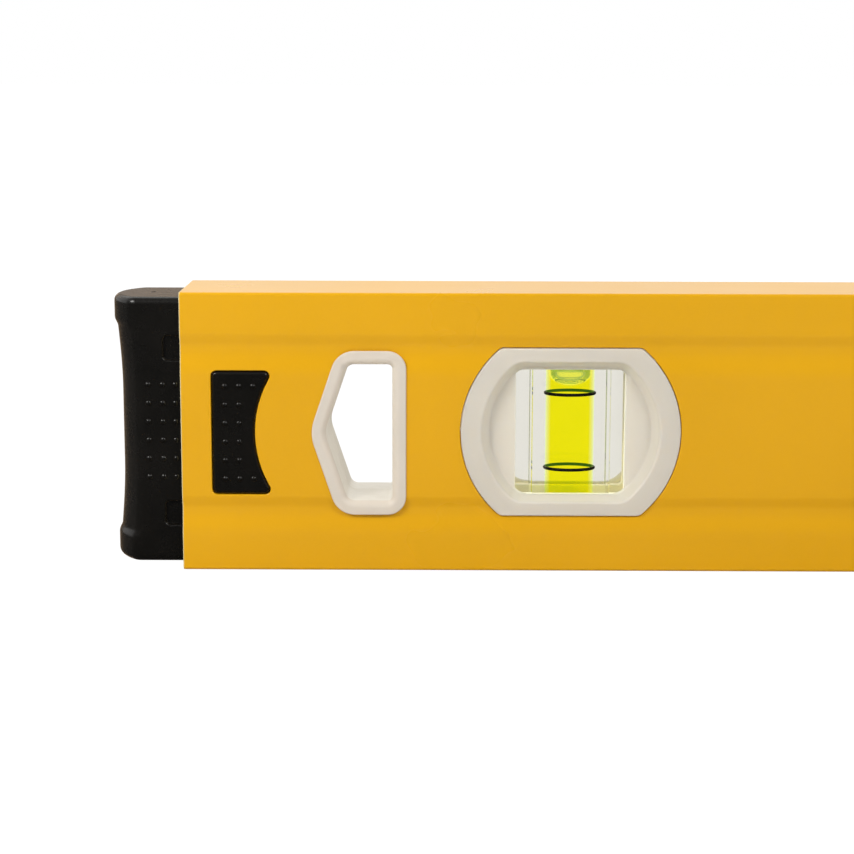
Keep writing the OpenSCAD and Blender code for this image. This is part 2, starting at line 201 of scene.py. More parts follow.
def barrel(r, z, corner, inset=0.0, n=40):
    """A circle cut off flat above and below, with rounded corners."""
    cz = z - corner
    cx = math.sqrt((r - corner) ** 2 - cz * cz)
    a = math.degrees(math.atan2(cz, cx))
    big, small = r - inset, corner - inset
    return (
        arc(0, 0, big, -a, a, n)
        + arc(cx, cz, small, a, 90, 6)
        + arc(-cx, cz, small, 90, 180 - a, 6)
        + arc(0, 0, big, 180 - a, 180 + a, n)
        + arc(-cx, -cz, small, 180 + a, 270, 6)
        + arc(cx, -cz, small, 270, 360 - a, 6)
    )


def latch_outline(grow):
    """The latch window: a rounded rectangle with one scooped side."""
    z = LATCH_Z - LATCH_CORNER
    x0 = LATCH_X0 + LATCH_CORNER
    x1 = SCOOP_X - math.sqrt((SCOOP_R + LATCH_CORNER) ** 2 - z * z)
    a = math.degrees(math.atan2(z, SCOOP_X - x1))
    r = LATCH_CORNER + grow
    return (
        arc(x0, -z, r, 180, 270, 6)
        + arc(x1, -z, r, 270, 360 + a, 10)
        + arc(SCOOP_X, 0, SCOOP_R - grow, 180 + a, 180 - a, 32)
        + arc(x1, z, r, -a, 90, 10)
        + arc(x0, z, r, 90, 180, 6)
    )


def round_steps(r, n=4):
    """(inwards, along) offsets of a quarter round edge, from the side to the top."""
    turns = [math.radians(90 * i / n) for i in range(n + 1)]
    return [(r * (1 - math.cos(a)), r * math.sin(a)) for a in turns]


# ---------------------------------------- mesh tools
def settle(bm, spot=None):
    """Places a bmesh by spot, turns millimetres into metres and makes its normals point out."""
    if spot is not None:
        bmesh.ops.transform(bm, matrix=spot, verts=bm.verts)
    bmesh.ops.scale(bm, vec=(MM, MM, MM), verts=bm.verts)
    bmesh.ops.recalc_face_normals(bm, faces=bm.faces)


def mesh_object(name, bm, spot=None):
    settle(bm, spot)
    mesh = bpy.data.meshes.new(name)
    bm.to_mesh(mesh)
    bm.free()
    obj = bpy.data.objects.new(name, mesh)
    bpy.context.scene.collection.objects.link(obj)
    return obj


def loft(loops, ring=False):
    """Joins loops of equal length with quads. ring closes the last loop onto the first."""
    bm = bmesh.new()
    rows = [[bm.verts.new(p) for p in loop] for loop in loops]
    pairs = list(zip(rows, rows[1:]))
    if ring:
        pairs.append((rows[-1], rows[0]))
    for a, b in pairs:
        for i in range(len(a)):
            j = (i + 1) % len(a)
            bm.faces.new((a[i], a[j], b[j], b[i]))
    if not ring:
        bm.faces.new(rows[0])
        bm.faces.new(rows[-1])
    return bm


def at_y(outline, y):
    return [(x, y, z) for x, z in outline]


def at_z(outline, z):
    return [(x, y, z) for x, y in outline]


def end_spot(side, face=-1, x=0.0):
    """Places a shape made for the left end's front face at either end and face."""
    flip = Matrix.Diagonal((-side, -face, 1, 1))
    return Matrix.Translation((side * HALF_L, 0, MID_Z)) @ flip @ Matrix.Translation((x, 0, 0))


def centre_spot(face):
    """Places a shape made round the middle of the front face at either face."""
    return Matrix.Translation((0, 0, MID_Z)) @ Matrix.Diagonal((1, -face, 1, 1))


def upright_spot(side):
    """Places a shape made along Z round the bore of a plumb vial."""
    return end_spot(side, x=VIAL_X + VIAL_SHIFT) @ Matrix.Translation((0, 0, PLUMB_Z - MID_Z))


def laid_spot():
    """Lays a shape made along Z down along X, at the height of the level vial."""
    return Matrix.Translation((0, 0, LEVEL_Z)) @ Matrix.Rotation(-math.pi / 2, 4, "Y")


def apply_modifiers(obj):
    depsgraph = bpy.context.evaluated_depsgraph_get()
    mesh = bpy.data.meshes.new_from_object(obj.evaluated_get(depsgraph), depsgraph=depsgraph)
    old = obj.data
    obj.modifiers.clear()
    obj.data = mesh
    bpy.data.meshes.remove(old)


def cut_out(obj, cutters):
    """Takes each cutter away from obj, applies the result and removes the cutters."""
    for cutter in cutters:
        mod = obj.modifiers.new("difference", "BOOLEAN")
        mod.operation = "DIFFERENCE"
        mod.object = cutter
        mod.solver = "EXACT"
    bpy.context.view_layer.update()
    apply_modifiers(obj)
    for cutter in cutters:
        mesh = cutter.data
        bpy.data.objects.remove(cutter)
        bpy.data.meshes.remove(mesh)


def round_edges(obj, angle, bevel):
    mod = obj.modifiers.new("edge_round", "BEVEL")
    mod.width = bevel * MM
    mod.segments = 2
    mod.limit_method = "ANGLE"
    mod.angle_limit = math.radians(angle)


def smooth(obj, angle, bevel=0.0):
    """Rounds edges past an angle, then gives each corner a normal that large flat faces win."""
    if bevel:
        round_edges(obj, angle, bevel)
        bpy.context.view_layer.update()
        apply_modifiers(obj)
    mesh = obj.data
    limit = math.cos(math.radians(angle))
    ways = [poly.normal.copy() for poly in mesh.polygons]
    pulls = [poly.normal * (poly.area / MM / MM) ** 2 for poly in mesh.polygons]
    around = [[] for _ in mesh.vertices]
    for poly in mesh.polygons:
        poly.use_smooth = True
        for v in poly.vertices:
            around[v].append(poly.index)
    normals = []
    for poly in mesh.polygons:
        own = ways[poly.index]
        for v in poly.vertices:
            total = sum((pulls[i] for i in around[v] if ways[i].dot(own) > limit), Vector())
            normals.append(total.normalized() if total.length > 0 else own)
    mesh.normals_split_custom_set(normals)


def smooth_cad(obj, bevel):
    """Rounds the edges of a CAD node and evens its normals, with modifiers only."""
    round_edges(obj, angle=35, bevel=bevel)
    mod = obj.modifiers.new("even_normals", "WEIGHTED_NORMAL")
    mod.keep_sharp = True


def add_dots(obj, places, spot):
    """Adds small domes to a mesh, one for each (x, y, z) place, as spheres sunk into it."""
    bm = bmesh.new()
    for place in places:
        bmesh.ops.create_uvsphere(
            bm, u_segments=20, v_segments=12, radius=DOT_R, matrix=Matrix.Translation(place)
        )
    settle(bm, spot)
    bm.from_mesh(obj.data)
    bm.to_mesh(obj.data)
    bm.free()


class Skin:
    """A mesh made of strips whose vertices carry their own normals, so flats stay flat."""

    def __init__(self):
        self.points = []
        self.normals = []
        self.faces = []

    def add(self, points, normals, faces):
        start = len(self.points)
        self.points += [Vector(p) for p in points]
        self.normals += [Vector(n).normalized() for n in normals]
        self.faces += [[start + i for i in face] for face in faces]

    def strips(self, loops, normals, closed=True):
        """Quads between neighbouring loops of equal length."""
        n = len(loops[0])
        last = n if closed else n - 1
        faces = [
            (row * n + i, row * n + (i + 1) % n, (row + 1) * n + (i + 1) % n, (row + 1) * n + i)
            for row in range(len(loops) - 1)
            for i in range(last)
        ]
        self.add(sum(loops, []), sum(normals, []), faces)

    def build(self, name):
        faces = []
        for face in self.faces:
            corners = [self.points[i] for i in face]
            turn = sum((a.cross(b) for a, b in zip(corners, corners[1:] + corners[:1])), Vector())
            out = sum((self.normals[i] for i in face), Vector())
            faces.append(face if turn.dot(out) >= 0 else face[::-1])
        mesh = bpy.data.meshes.new(name)
        mesh.from_pydata([p * MM for p in self.points], [], faces)
        mesh.update()
        mesh.normals_split_custom_set_from_vertices(self.normals)
        obj = bpy.data.objects.new(name, mesh)
        bpy.context.scene.collection.objects.link(obj)
        return obj


# ---------------------------------------- materials
def srgb(r, g, b):
    """Linear colour from 0-255 display values."""
    return tuple(
        v / 12.92 if v <= 0.04045 else ((v + 0.055) / 1.055) ** 2.4
        for v in (r / 255, g / 255, b / 255)
    ) + (1.0,)


def feed(tree, socket, value):
    """Links a socket to another one, or sets it to a plain value."""
    if isinstance(value, bpy.types.NodeSocket):
        tree.links.new(value, socket)
    else:
        socket.default_value = value


class Nodes:
    """A short way to write a node tree."""

    def __init__(self, name):
        self.mat = bpy.data.materials.new(name)
        self.mat.use_nodes = True
        self.tree = self.mat.node_tree
        self.shader = self.tree.nodes["Principled BSDF"]
        self.out = self.tree.nodes["Material Output"]
        self.place = self.add("ShaderNodeTexCoord").outputs["Object"]

    def add(self, kind, **inputs):
        node = self.tree.nodes.new(kind)
        for key, value in inputs.items():
            self.set(node, key, value)
        return node

    def set(self, node, key, value):
        feed(self.tree, node.inputs[key.replace("_", " ")], value)

    def noise(self, size, detail=3.0, rough=0.5):
        """Noise whose features are about size millimetres across."""
        node = self.add("ShaderNodeTexNoise", Scale=1 / (size * MM), Detail=detail, Roughness=rough)
        self.set(node, "Vector", self.place)
        return node.outputs["Fac"]

    def remap(self, value, low, high, from_low=0.3, from_high=0.7):
        node = self.add("ShaderNodeMapRange", Value=value)
        ends = {"From_Min": from_low, "From_Max": from_high, "To_Min": low, "To_Max": high}
        for key, value in ends.items():
            self.set(node, key, value)
        return node.outputs["Result"]

    def mix(self, factor, a, b, blend="MIX"):
        node = self.tree.nodes.new("ShaderNodeMix")
        node.data_type = "RGBA"
        node.blend_type = blend
        for index, value in ((0, factor), (6, a), (7, b)):
            feed(self.tree, node.inputs[index], value)
        return node.outputs[2]

    def maths(self, operation, a, b):
        node = self.tree.nodes.new("ShaderNodeMath")
        node.operation = operation
        for socket, value in zip(node.inputs, (a, b)):
            feed(self.tree, socket, value)
        return node.outputs[0]

    def bump(self, height, distance, strength=1.0, before=None):
        node = self.add("ShaderNodeBump", Height=height, Distance=distance * MM, Strength=strength)
        if before is not None:
            self.set(node, "Normal", before)
        return node.outputs["Normal"]

    def beyond(self, axis, far, ramp):
        """1 where a point is more than far millimetres from the middle along an axis, else 0."""
        split = self.add("ShaderNodeSeparateXYZ", Vector=self.place)
        away = self.maths("ABSOLUTE", split.outputs[axis], 0)
        return self.remap(away, 0, 1, (far - ramp) * MM, (far + ramp) * MM)

    def principled(self, **values):
        for key, value in values.items():
            self.set(self.shader, key, value)
        return self.mat

    def blend_shaders(self, factor, other):
        """Shows the main shader where factor is 0 and the other one where it is 1."""
        mix = self.add("ShaderNodeMixShader", Fac=factor)
        self.tree.links.new(self.shader.outputs[0], mix.inputs[1])
        self.tree.links.new(other.outputs[0], mix.inputs[2])
        self.tree.links.new(mix.outputs[0], self.out.inputs["Surface"])


def paint_material():
    """Yellow enamel with a faint orange peel; the sawn ends of the beam are bare aluminium."""
    n = Nodes("beam_paint")
    bright, deep = (0.775, 0.395, 0.002, 1), (0.735, 0.375, 0.002, 1)
    cloudy = n.mix(n.remap(n.noise(38, 2), 0, 1), bright, deep)
    speck = n.mix(n.remap(n.noise(0.5, 4), 0, 0.3), cloudy, (0.79, 0.41, 0.004, 1))
    peel = n.bump(n.noise(1.1, 2, 0.4), 0.002, 0.3)
    grain = n.bump(n.noise(0.22, 2, 0.5), 0.0015, 0.3, peel)
    ends = n.beyond(X, HALF_L - SAWN, 0.06)
    return n.principled(
        Base_Color=n.mix(ends, speck, (0.85, 0.73, 0.40, 1)),
        Metallic=n.maths("MULTIPLY", ends, 0.2),
        Roughness=n.remap(n.noise(30, 3), 0.27, 0.31),
        Specular_IOR_Level=0.4,
        Normal=grain,
    )


def rubber_material(name, colour, lighter):
    """Soft black rubber, dusty in places and with a warm sheen at its edges."""
    n = Nodes(name)
    base = n.mix(n.remap(n.noise(9, 4), 0, 1), colour, lighter)
    dusty = n.mix(n.remap(n.noise(0.7, 5, 0.6), 0, 0.3, 0.5, 0.75), base, lighter)
    grain = n.bump(n.noise(0.3, 5, 0.65), 0.006, 0.4)
    grazing = n.add("ShaderNodeLayerWeight", Blend=0.5).outputs["Facing"]
    return n.principled(
        Base_Color=dusty,
        Roughness=n.remap(n.noise(4, 4), 0.24, 0.29),
        Specular_IOR_Level=n.remap(grazing, 0.36, 0.005, 0.45, 0.8),
        Sheen_Weight=0.46,
        Sheen_Roughness=0.25,
        Sheen_Tint=(1.0, 0.68, 0.42, 1),
        Normal=grain,
    )


def plastic_material(
    name, colour, shade, rough=(0.34, 0.46), grain=0.01, soft=0.0, inside=(), gloss=0.35
):
    """Moulded plastic. soft is its share of light that spreads under the surface.

    inside lists, from the outside in, a distance from the middle plane, the painted tone from there
    on, which paints the light and shade of the hollows, and the strength of a painted glow there,
    which stands in for light coming through the thin walls.
    """
    n = Nodes(name)
    base = n.mix(n.remap(n.noise(14, 3), 0, 1), colour, shade)
    glow = 0.0
    # Each zone gets its painted tone, and through sets the strength of its painted glow.
    for reach, painted_tone, through in inside:
        outside = n.beyond(Y, reach, 0.1)
        base = n.mix(outside, painted_tone, base)
        glow = n.remap(outside, through, glow, 0, 1)
    ripple = n.bump(n.noise(5, 2, 0.4), 0.02, 0.25)
    fine = n.bump(n.noise(0.35, 4, 0.6), grain, 0.4, ripple)
    n.shader.subsurface_method = "RANDOM_WALK"
    return n.principled(
        Base_Color=base,
        Roughness=n.remap(n.noise(3, 4), rough[0], rough[1]),
        Specular_IOR_Level=gloss,
        Subsurface_Weight=soft,
        Subsurface_Radius=(1.0, 0.9, 0.75),
        Subsurface_Scale=3.0 * MM,
        # The emission is the painted glow, in the warm colour of light through pale plastic.
        Emission_Color=(1.0, 0.93, 0.79, 1),
        Emission_Strength=glow,
        Normal=fine,
    )


def clear_material(
    name, enter, leave, ior, shadow, glow=(0, 0, 0, 1), strength=0.0, rim=None, rim_at=(0.3, 0.75)
):
    """See-through material. Light is tinted once as it enters and once as it leaves.

    rim is the tint of the parts seen edge-on, and rim_at where it fades in. glow and strength set
    a painted glow: an emission that stands in for light.
    """
    n = Nodes(name)
    sides = n.add("ShaderNodeNewGeometry").outputs["Backfacing"]
    tint = n.mix(sides, (*[c * c for c in enter], 1), (*[c * c for c in leave], 1))
    if rim is not None:
        facing = n.add("ShaderNodeLayerWeight", Blend=0.35).outputs["Facing"]
        tint = n.mix(n.remap(facing, 0, 1, *rim_at), tint, (*rim, 1))
    tint = n.mix(n.remap(n.noise(5, 3), 0, 0.12), tint, (0.8, 0.8, 0.8, 1), "MULTIPLY")
    n.principled(
        Base_Color=tint,
        Roughness=n.remap(n.noise(2, 4), 0.0, 0.015),
        IOR=ior,
        Transmission_Weight=1.0,
        Emission_Color=glow,
        Emission_Strength=strength,
        Normal=n.bump(n.noise(3, 2), 0.004, 0.05),
    )
    path = n.add("ShaderNodeLightPath")
    through = n.add("ShaderNodeBsdfTransparent", Color=shadow)
    n.blend_shaders(path.outputs["Is Shadow Ray"], through)
    return n.mat


def steel_material():
    """Bright drawn wire."""
    n = Nodes("spring_steel")
    base = n.mix(n.remap(n.noise(0.8, 5), 0, 1), srgb(172, 173, 176), srgb(140, 140, 144))
    return n.principled(
        Base_Color=base,
        Metallic=1.0,
        Roughness=n.remap(n.noise(0.4, 4), 0.25, 0.42),
        Normal=n.bump(n.noise(0.15, 3), 0.004, 0.4),
    )


# The spirit itself has an index of 1, so that only the block and the bubble bend the light.
ACRYLIC_IOR = 1.49
SPIRIT_IOR = 1.36
CLEAR_GREY = (0.885, 0.875, 0.835)
BUBBLE_GREY = (0.80, 0.80, 0.75)
PALE = (srgb(217, 211, 199), srgb(212, 206, 194))
MATERIALS = {
    "beam_paint": paint_material(),
    "cap_rubber": rubber_material("cap_rubber", srgb(10, 9, 7), srgb(18, 16, 13)),
    "pad_rubber": rubber_material("pad_rubber", srgb(9, 8, 6), srgb(16, 14, 11)),
    "plug_plastic": plastic_material(
        "plug_plastic", srgb(34, 34, 35), srgb(42, 42, 42), rough=(0.4, 0.55), grain=0.02
    ),
    # Inside the hand hold the liner is darker and has a painted glow: painted light in the tunnel.
    "liner_plastic": plastic_material(
        "liner_plastic", srgb(221, 211, 197), srgb(216, 206, 192), soft=0.15,
        inside=((HALF_T - 0.8, srgb(172, 166, 155), 0.29),),
    ),
    # Inwards from the face: a faint painted glow on the recess slope; the recess floor made
    # lighter, as painted light against its shade; the window walls lighter, with a painted glow for
    # light through them; the pocket tinted yellow-green, as painted light from the spirit.
    "housing_plastic": plastic_material(
        "housing_plastic", *PALE, soft=0.6,
        inside=(
            (HALF_T - 0.5, srgb(213, 207, 194), 0.05),
            (HALF_T - RECESS_D + 0.35, srgb(223, 217, 204), 0.0),
            (HALF_T - RECESS_D - 0.1, srgb(236, 232, 215), 0.27),
            (POCKET_TOP - 0.05, srgb(203, 195, 112), 0.0),
        ),
    ),
    "vial_acrylic": clear_material(
        "vial_acrylic", CLEAR_GREY, CLEAR_GREY, ACRYLIC_IOR, (1, 1, 1, 1)
    ),
    # The spirit's glow is painted light, standing in for its fluorescence under the lamps.
    "vial_spirit": clear_material(
        "vial_spirit", (1.0, 0.935, 0.28), (1.0, 0.81, 0.003), 1.0, (1, 1, 0.8, 1),
        glow=(0.3, 1.0, 0.01, 1), strength=0.12, rim=(0.99, 0.97, 0.75),
    ),
    # The bubble's pale glow is painted light for the bright things its surface mirrors, and its
    # dark green rim painted shade for the darker things it mirrors edge-on.
    "vial_bubble": clear_material(
        "vial_bubble", BUBBLE_GREY, BUBBLE_GREY, 1 / SPIRIT_IOR, (0.98, 1.0, 0.95, 1),
        glow=(0.85, 0.97, 1.0, 1), strength=0.2, rim=(0.08, 0.16, 0.02), rim_at=(0.27, 0.5),
    ),
    "bezel_plastic": plastic_material("bezel_plastic", *PALE, soft=0.15),
    "ring_black": plastic_material(
        "ring_black", srgb(9, 8, 6), srgb(15, 14, 11), rough=(0.4, 0.5), grain=0.002, gloss=0.06
    ),
    "spring_steel": steel_material(),
}


def dress(obj, slot, body, *nodes):
    """Gives a new piece the material of its slot and its body, and hides the CAD nodes that it
    stands for.
    """
    obj.data.materials.clear()
    obj.data.materials.append(MATERIALS[slot])
    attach(obj, body)
    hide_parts(*nodes)


# ---------------------------------------- the beam
def face_depth(z):
    """How far the side wall stands in at height z, over its two valleys."""
    for top, floor_top, floor_end, end in VALLEYS:
        if floor_top < z < top:
            return VALLEY_D * (1 - math.cos(math.pi * (top - z) / (top - floor_top))) / 2
        if end < z < floor_end:
            return VALLEY_D * (1 - math.cos(math.pi * (z - end) / (floor_end - end))) / 2
        if floor_end <= z <= floor_top:
            return VALLEY_D
    return 0.0


def face_normal(z):
    """Outward normal (along Y, along Z) of the side wall at height z."""
    step = 0.05
    slope = (face_depth(z + step) - face_depth(z - step)) / (2 * step)
    return Vector((1, slope)).normalized()


def valley_heights():
    """Heights, from the lowest up, at which the side walls need a row of points."""
    heights = []
    for top, _, _, end in reversed(VALLEYS):
        heights += [end + (top - end) * i / VALLEY_STEPS for i in range(VALLEY_STEPS + 1)]
    return heights


def split_at(outline, heights, longest=2.5, least=0.02):
    """Adds points to a closed outline where it crosses the heights, and along long straights."""
    out = []
    for (ax, ay), (bx, by) in zip(outline, outline[1:] + outline[:1]):
        length = math.hypot(bx - ax, by - ay)
        parts = math.ceil(length / longest)
        cuts = {0.0} | {i / parts for i in range(1, parts)}
        if abs(by - ay) > 1e-6:
            cuts |= {(h - ay) / (by - ay) for h in heights}
        cuts = sorted(t for t in cuts if 0 <= t < 0.999)
        out += [(ax + (bx - ax) * t, ay + (by - ay) * t) for t in cuts]
    kept = [out[0]]
    for p in out[1:]:
        if math.hypot(p[0] - kept[-1][0], p[1] - kept[-1][1]) > least:
            kept.append(p)
    return kept


def inward(outline):
    """Unit directions that point to the inside of an anticlockwise outline, one per point."""
    out = []
    for i, (x, y) in enumerate(outline):
        px, py = outline[i - 1]
        nx, ny = outline[(i + 1) % len(outline)]
        before = Vector((py - y, x - px)).normalized()
        after = Vector((y - ny, nx - x)).normalized()
        out.append((before + after).normalized())
    return out


def panel(skin, width, height, heights, holes, to_3d, normal_at):
    """A flat or valleyed sheet with holes, as faces without thickness."""
    x, y = width / 2, height / 2
    points = [(-x, -y), (x, -y), (x, y), (-x, y)]
    edges = []
    faces = [[0, 1, 2, 3]]
    for h in heights:
        edges.append((len(points), len(points) + 1))
        points += [(-x, h), (x, h)]
    for hole in holes:
        faces.append(list(range(len(points), len(points) + len(hole))))
        points += hole
    points = [Vector(p) for p in points]
    simple_faces, least = 4, 1e-5
    flat, _, cells, _, _, owners = delaunay_2d_cdt(points, edges, faces, simple_faces, least)
    kept = [list(cell) for cell, owner in zip(cells, owners) if list(owner) == [0]]
    skin.add([to_3d(p.x, p.y, 0) for p in flat], [normal_at(p.y) for p in flat], kept)


def sheet(skin, width, height, heights, holes, to_3d, normal_at):
    """A wall of the beam: its outside, its inside, and a rounded edge round each hole."""
    panel(skin, width, height, heights, holes, to_3d, normal_at)
    turns = [math.radians(90 * i / 5) for i in range(6)]
    rows = [(PAINT_EDGE * math.sin(a), PAINT_EDGE * (1 - math.cos(a)), a) for a in turns]
    rows.append((PAINT_EDGE, WALL, math.pi / 2))
    origin = to_3d(0, 0, 0)
    cuts = []
    for hole in holes:
        ways = inward(hole)
        sides = [to_3d(w.x, w.y, 0) - origin for w in ways]
        loops = [
            [to_3d(p[0] + w.x * shift, p[1] + w.y * shift, depth) for p, w in zip(hole, ways)]
            for shift, depth, _ in rows
        ]
        normals = [
            [normal_at(p[1]) * math.cos(a) + side * math.sin(a) for p, side in zip(hole, sides)]
            for _, _, a in rows
        ]
        skin.strips(loops, normals)
        cuts.append(
            [(p[0] + w.x * PAINT_EDGE, p[1] + w.y * PAINT_EDGE) for p, w in zip(hole, ways)]
        )
    panel(
        skin, 2 * HALF_L, height + 2 * EDGE_R - 2 * WALL, heights, cuts,
        lambda u, v, d: to_3d(u, v, WALL), lambda v: -normal_at(v),
    )


def mirrored(outline):
    return [(-x, y) for x, y in reversed(outline)]


def hold_drop(face):
    """How much lower the hand hold is at a face than in the middle of the beam."""
    return HOLD_DROP if face == FACES["back"] else 0


def side_holes(face):
    """Outlines of the cut-outs in a side wall, in X and Z from the beam's middle."""
    grow = PAINT_EDGE
    middle = moved(barrel(HOUSING_R, HOUSING_Z, HOUSING_CORNER, -grow), 0, HOUSING_UP)
    left = [
        moved(latch_outline(grow), -HALF_L, 0),
        moved(rounded(HOLD_CORNERS, HOLD_LAP - grow), -HALF_L, -hold_drop(face)),
        moved(middle, VIAL_X - HALF_L, 0),
    ]
    return left + [mirrored(hole) for hole in left] + [middle]


def section(inset, corner):
    """Points and outward normals of the beam's outline in Y and Z, inset from the outside."""
    y, z = HALF_T - inset, HALF_H - inset
    points, normals = [], []
    for start, sy, sz in ((0, 1, 1), (90, -1, 1), (180, -1, -1), (270, 1, -1)):
        points += arc(sy * (y - corner), sz * (z - corner), corner, start, start + 90, 8)
        normals += arc(0, 0, 1, start, start + 90, 8)
        if sy == sz:
            continue
        for h in sorted(valley_heights(), reverse=sy < 0):
            n = face_normal(h)
            points.append((sy * (y - face_depth(h)), h))
            normals.append((sy * n.x, n.y))
    return points, normals


def add_long_edges(skin, length):
    """The four rounded edges that run along the beam."""
    for sy in (-1, 1):
        for sz in (-1, 1):
            turns = [math.radians(90 * i / 8) for i in range(9)]
            normals = [Vector((0, sy * math.cos(a), sz * math.sin(a))) for a in turns]
            core = Vector((0, sy * (HALF_T - EDGE_R), MID_Z + sz * (HALF_H - EDGE_R)))
            loops = [
                [core + n * EDGE_R + Vector((x, 0, 0)) for n in normals]
                for x in (-length / 2, length / 2)
            ]
            skin.strips(loops, [normals, normals], closed=False)


def add_sawn_ends(skin):
    """A rounded edge and the flat cut through the walls, at both ends."""
    for way in (-1, 1):
        loops, ways = [], []
        for i in range(6):
            a = math.radians(90 * i / 5)
            points, normals = section(PAINT_EDGE * (1 - math.cos(a)), EDGE_R)
            x = way * (HALF_L - PAINT_EDGE + PAINT_EDGE * math.sin(a))
            loops.append([(x, y, z + MID_Z) for y, z in points])
            ways.append(
                [(way * math.sin(a), ny * math.cos(a), nz * math.cos(a)) for ny, nz in normals]
            )
        skin.strips(loops, ways)
        inner, _ = section(WALL, INNER_R)
        end = [(way * HALF_L, y, z + MID_Z) for y, z in inner]
        skin.strips([loops[-1], end], [[(way, 0, 0)] * len(end)] * 2)


def make_beam():
    skin = Skin()
    length = 2 * (HALF_L - PAINT_EDGE)
    heights = valley_heights()
    for side in (-1, 1):
        holes = [split_at(hole, heights) for hole in side_holes(side)]
        sheet(
            skin, length, 2 * (HALF_H - EDGE_R), heights, holes,
            lambda x, z, d, side=side: Vector((x, side * (HALF_T - face_depth(z) - d), z + MID_Z)),
            lambda z, side=side: Vector((0, side * face_normal(z).x, face_normal(z).y)),
        )
    long, wide, corner = BEZEL
    slot = box_outline(
        long + 2 * BEZEL_GAP, wide + 2 * BEZEL_GAP, corner + BEZEL_GAP, -PAINT_EDGE
    )
    slot = split_at(slot, [])
    for way, cuts in ((1, [slot]), (-1, [])):
        sheet(
            skin, length, 2 * (HALF_T - EDGE_R), [], cuts,
            lambda x, y, d, way=way: Vector((x, y, MID_Z + way * (HALF_H - d))),
            lambda y, way=way: Vector((0, 0, way)),
        )
    add_long_edges(skin, length)
    add_sawn_ends(skin)
    beam = skin.build("beam_extrusion")
    dress(beam, "beam_paint", "beam", "beam")


# ---------------------------------------- end caps
# CAP_SHOULDER is where the step to the waist ends and starts. CHANNEL_FOOT and CHANNEL_MOUTH are
# the (outwards, along) offsets that round a rib channel at its floor and at its mouth.
CAP_HALF_T = 10.5
CAP_BOW = 14.0
CAP_CORNER = 3.0
CAP_EDGE = 1.5
CAP_SHOULDER = (21.5, 23.8)
CAP_STEP = 0.72
CAP_WAIST = 0.75
CAP_WAIST_END = 8.0
CHANNEL_Z = (15.3, 20.5)
CHANNEL_FLOOR = 9.5
CHANNEL_CORNER = 1.0
CHANNEL_X = -3.8
CHANNEL_FOOT = ((-0.3, 0), (-0.08, 0.08), (0, 0.3))
CHANNEL_MOUTH = ((0, 0), (0.03, 0.17), (0.13, 0.32), (0.28, 0.42), (0.45, 0.45), (0.45, 1))
CAP_DOT_X = (-7.1, -4.05, -1.3)
CAP_LIP = 0.45
VENT_R = 0.55
VENT_X = -6.9
VENT_DEPTH = 3


def cap_plan(set_back, inset):
    """The bumper seen from above: a bow, two corner rounds and two flat sides."""
    y = CAP_HALF_T - CAP_CORNER
    bow_x = CAP_BOW - CAP_OUT + set_back
    corner_x = bow_x - math.sqrt((CAP_BOW - CAP_CORNER) ** 2 - y * y)
    a = math.degrees(math.atan2(y, bow_x - corner_x))
    side = CAP_HALF_T - inset
    flat = [corner_x * (1 - i / 6) for i in range(7)]
    return (
        [(x, side) for x in reversed(flat)][:-1]
        + arc(corner_x, y, CAP_CORNER - inset, 90, 180 - a, 8)
        + arc(bow_x, 0, CAP_BOW - inset, 180 - a, 180 + a, 32)
        + arc(corner_x, -y, CAP_CORNER - inset, 180 + a, 270, 8)
        + [(x, -side) for x in flat][1:]
    )


def cap_set_back(z):
    """How far the bowed end stands in at height z: two shoulders, a step and a hollow waist."""
    low, high = CAP_SHOULDER
    z = abs(z)
    if z >= high:
        return 0.0
    step = CAP_STEP * (1 - math.cos(math.pi * min(1.0, (high - z) / (high - low)))) / 2
    hollow = min(1.0, max(0.0, low - z) / (low - CAP_WAIST_END))
    return step + CAP_WAIST * math.sin(hollow * math.pi / 2)


def channel_cutter(face, half, side):
    """The shape of one rib channel: on a face, above or below the middle."""
    low, high = CHANNEL_Z
    rows = [(out, CHANNEL_FLOOR + along) for out, along in CHANNEL_FOOT]
    rows += [(out, CAP_HALF_T - CAP_LIP + along) for out, along in CHANNEL_MOUTH]
    loops = []
    for out, y in rows:
        outline = box_outline(2 * CAP_OUT, high - low, CHANNEL_CORNER, -out, 6)
        outline = moved(outline, CHANNEL_X + CAP_OUT, half * (low + high) / 2)
        loops.append(at_y(outline, face * y))
    return mesh_object("channel", loft(loops), end_spot(side))


def vent_cutter(side):
    vent = moved(circle(VENT_R, 24), VENT_X, 0)
    loops = [at_z(vent, CAP_HALF_H - VENT_DEPTH), at_z(vent, CAP_HALF_H + 1)]
    return mesh_object("vent", loft(loops), end_spot(side))


def make_bumper(name, side):
    top = [(inwards, CAP_HALF_H - CAP_EDGE + along) for inwards, along in round_steps(CAP_EDGE, 6)]
    low, high = CAP_SHOULDER
    heights = [high + 2, high + 0.6] + [high - (high - low) * i / 8 for i in range(9)]
    heights += [low * (1 - i / 14) for i in range(1, 15)]
    upper = top[::-1] + [(0.0, z) for z in heights]
    stations = [(inset, -z) for inset, z in upper]
    stations += [(inset, z) for inset, z in reversed(upper[:-1])]
    loops = [at_z(cap_plan(cap_set_back(z), inset), z) for inset, z in stations]
    bumper = mesh_object(f"{name}_bumper", loft(loops), end_spot(side))
    cutters = [channel_cutter(face, half, side) for face in (-1, 1) for half in (-1, 1)]
    cutters.append(vent_cutter(side))
    cut_out(bumper, cutters)
    depth = CAP_HALF_T - DOT_SINK
    places = [(x, y, z) for x in CAP_DOT_X for z in DOT_Z for y in (-depth, depth)]
    add_dots(bumper, places, end_spot(side))
    smooth(bumper, angle=42)
    dress(bumper, "cap_rubber", f"{name}_cap", f"{name}_cap_bumper")


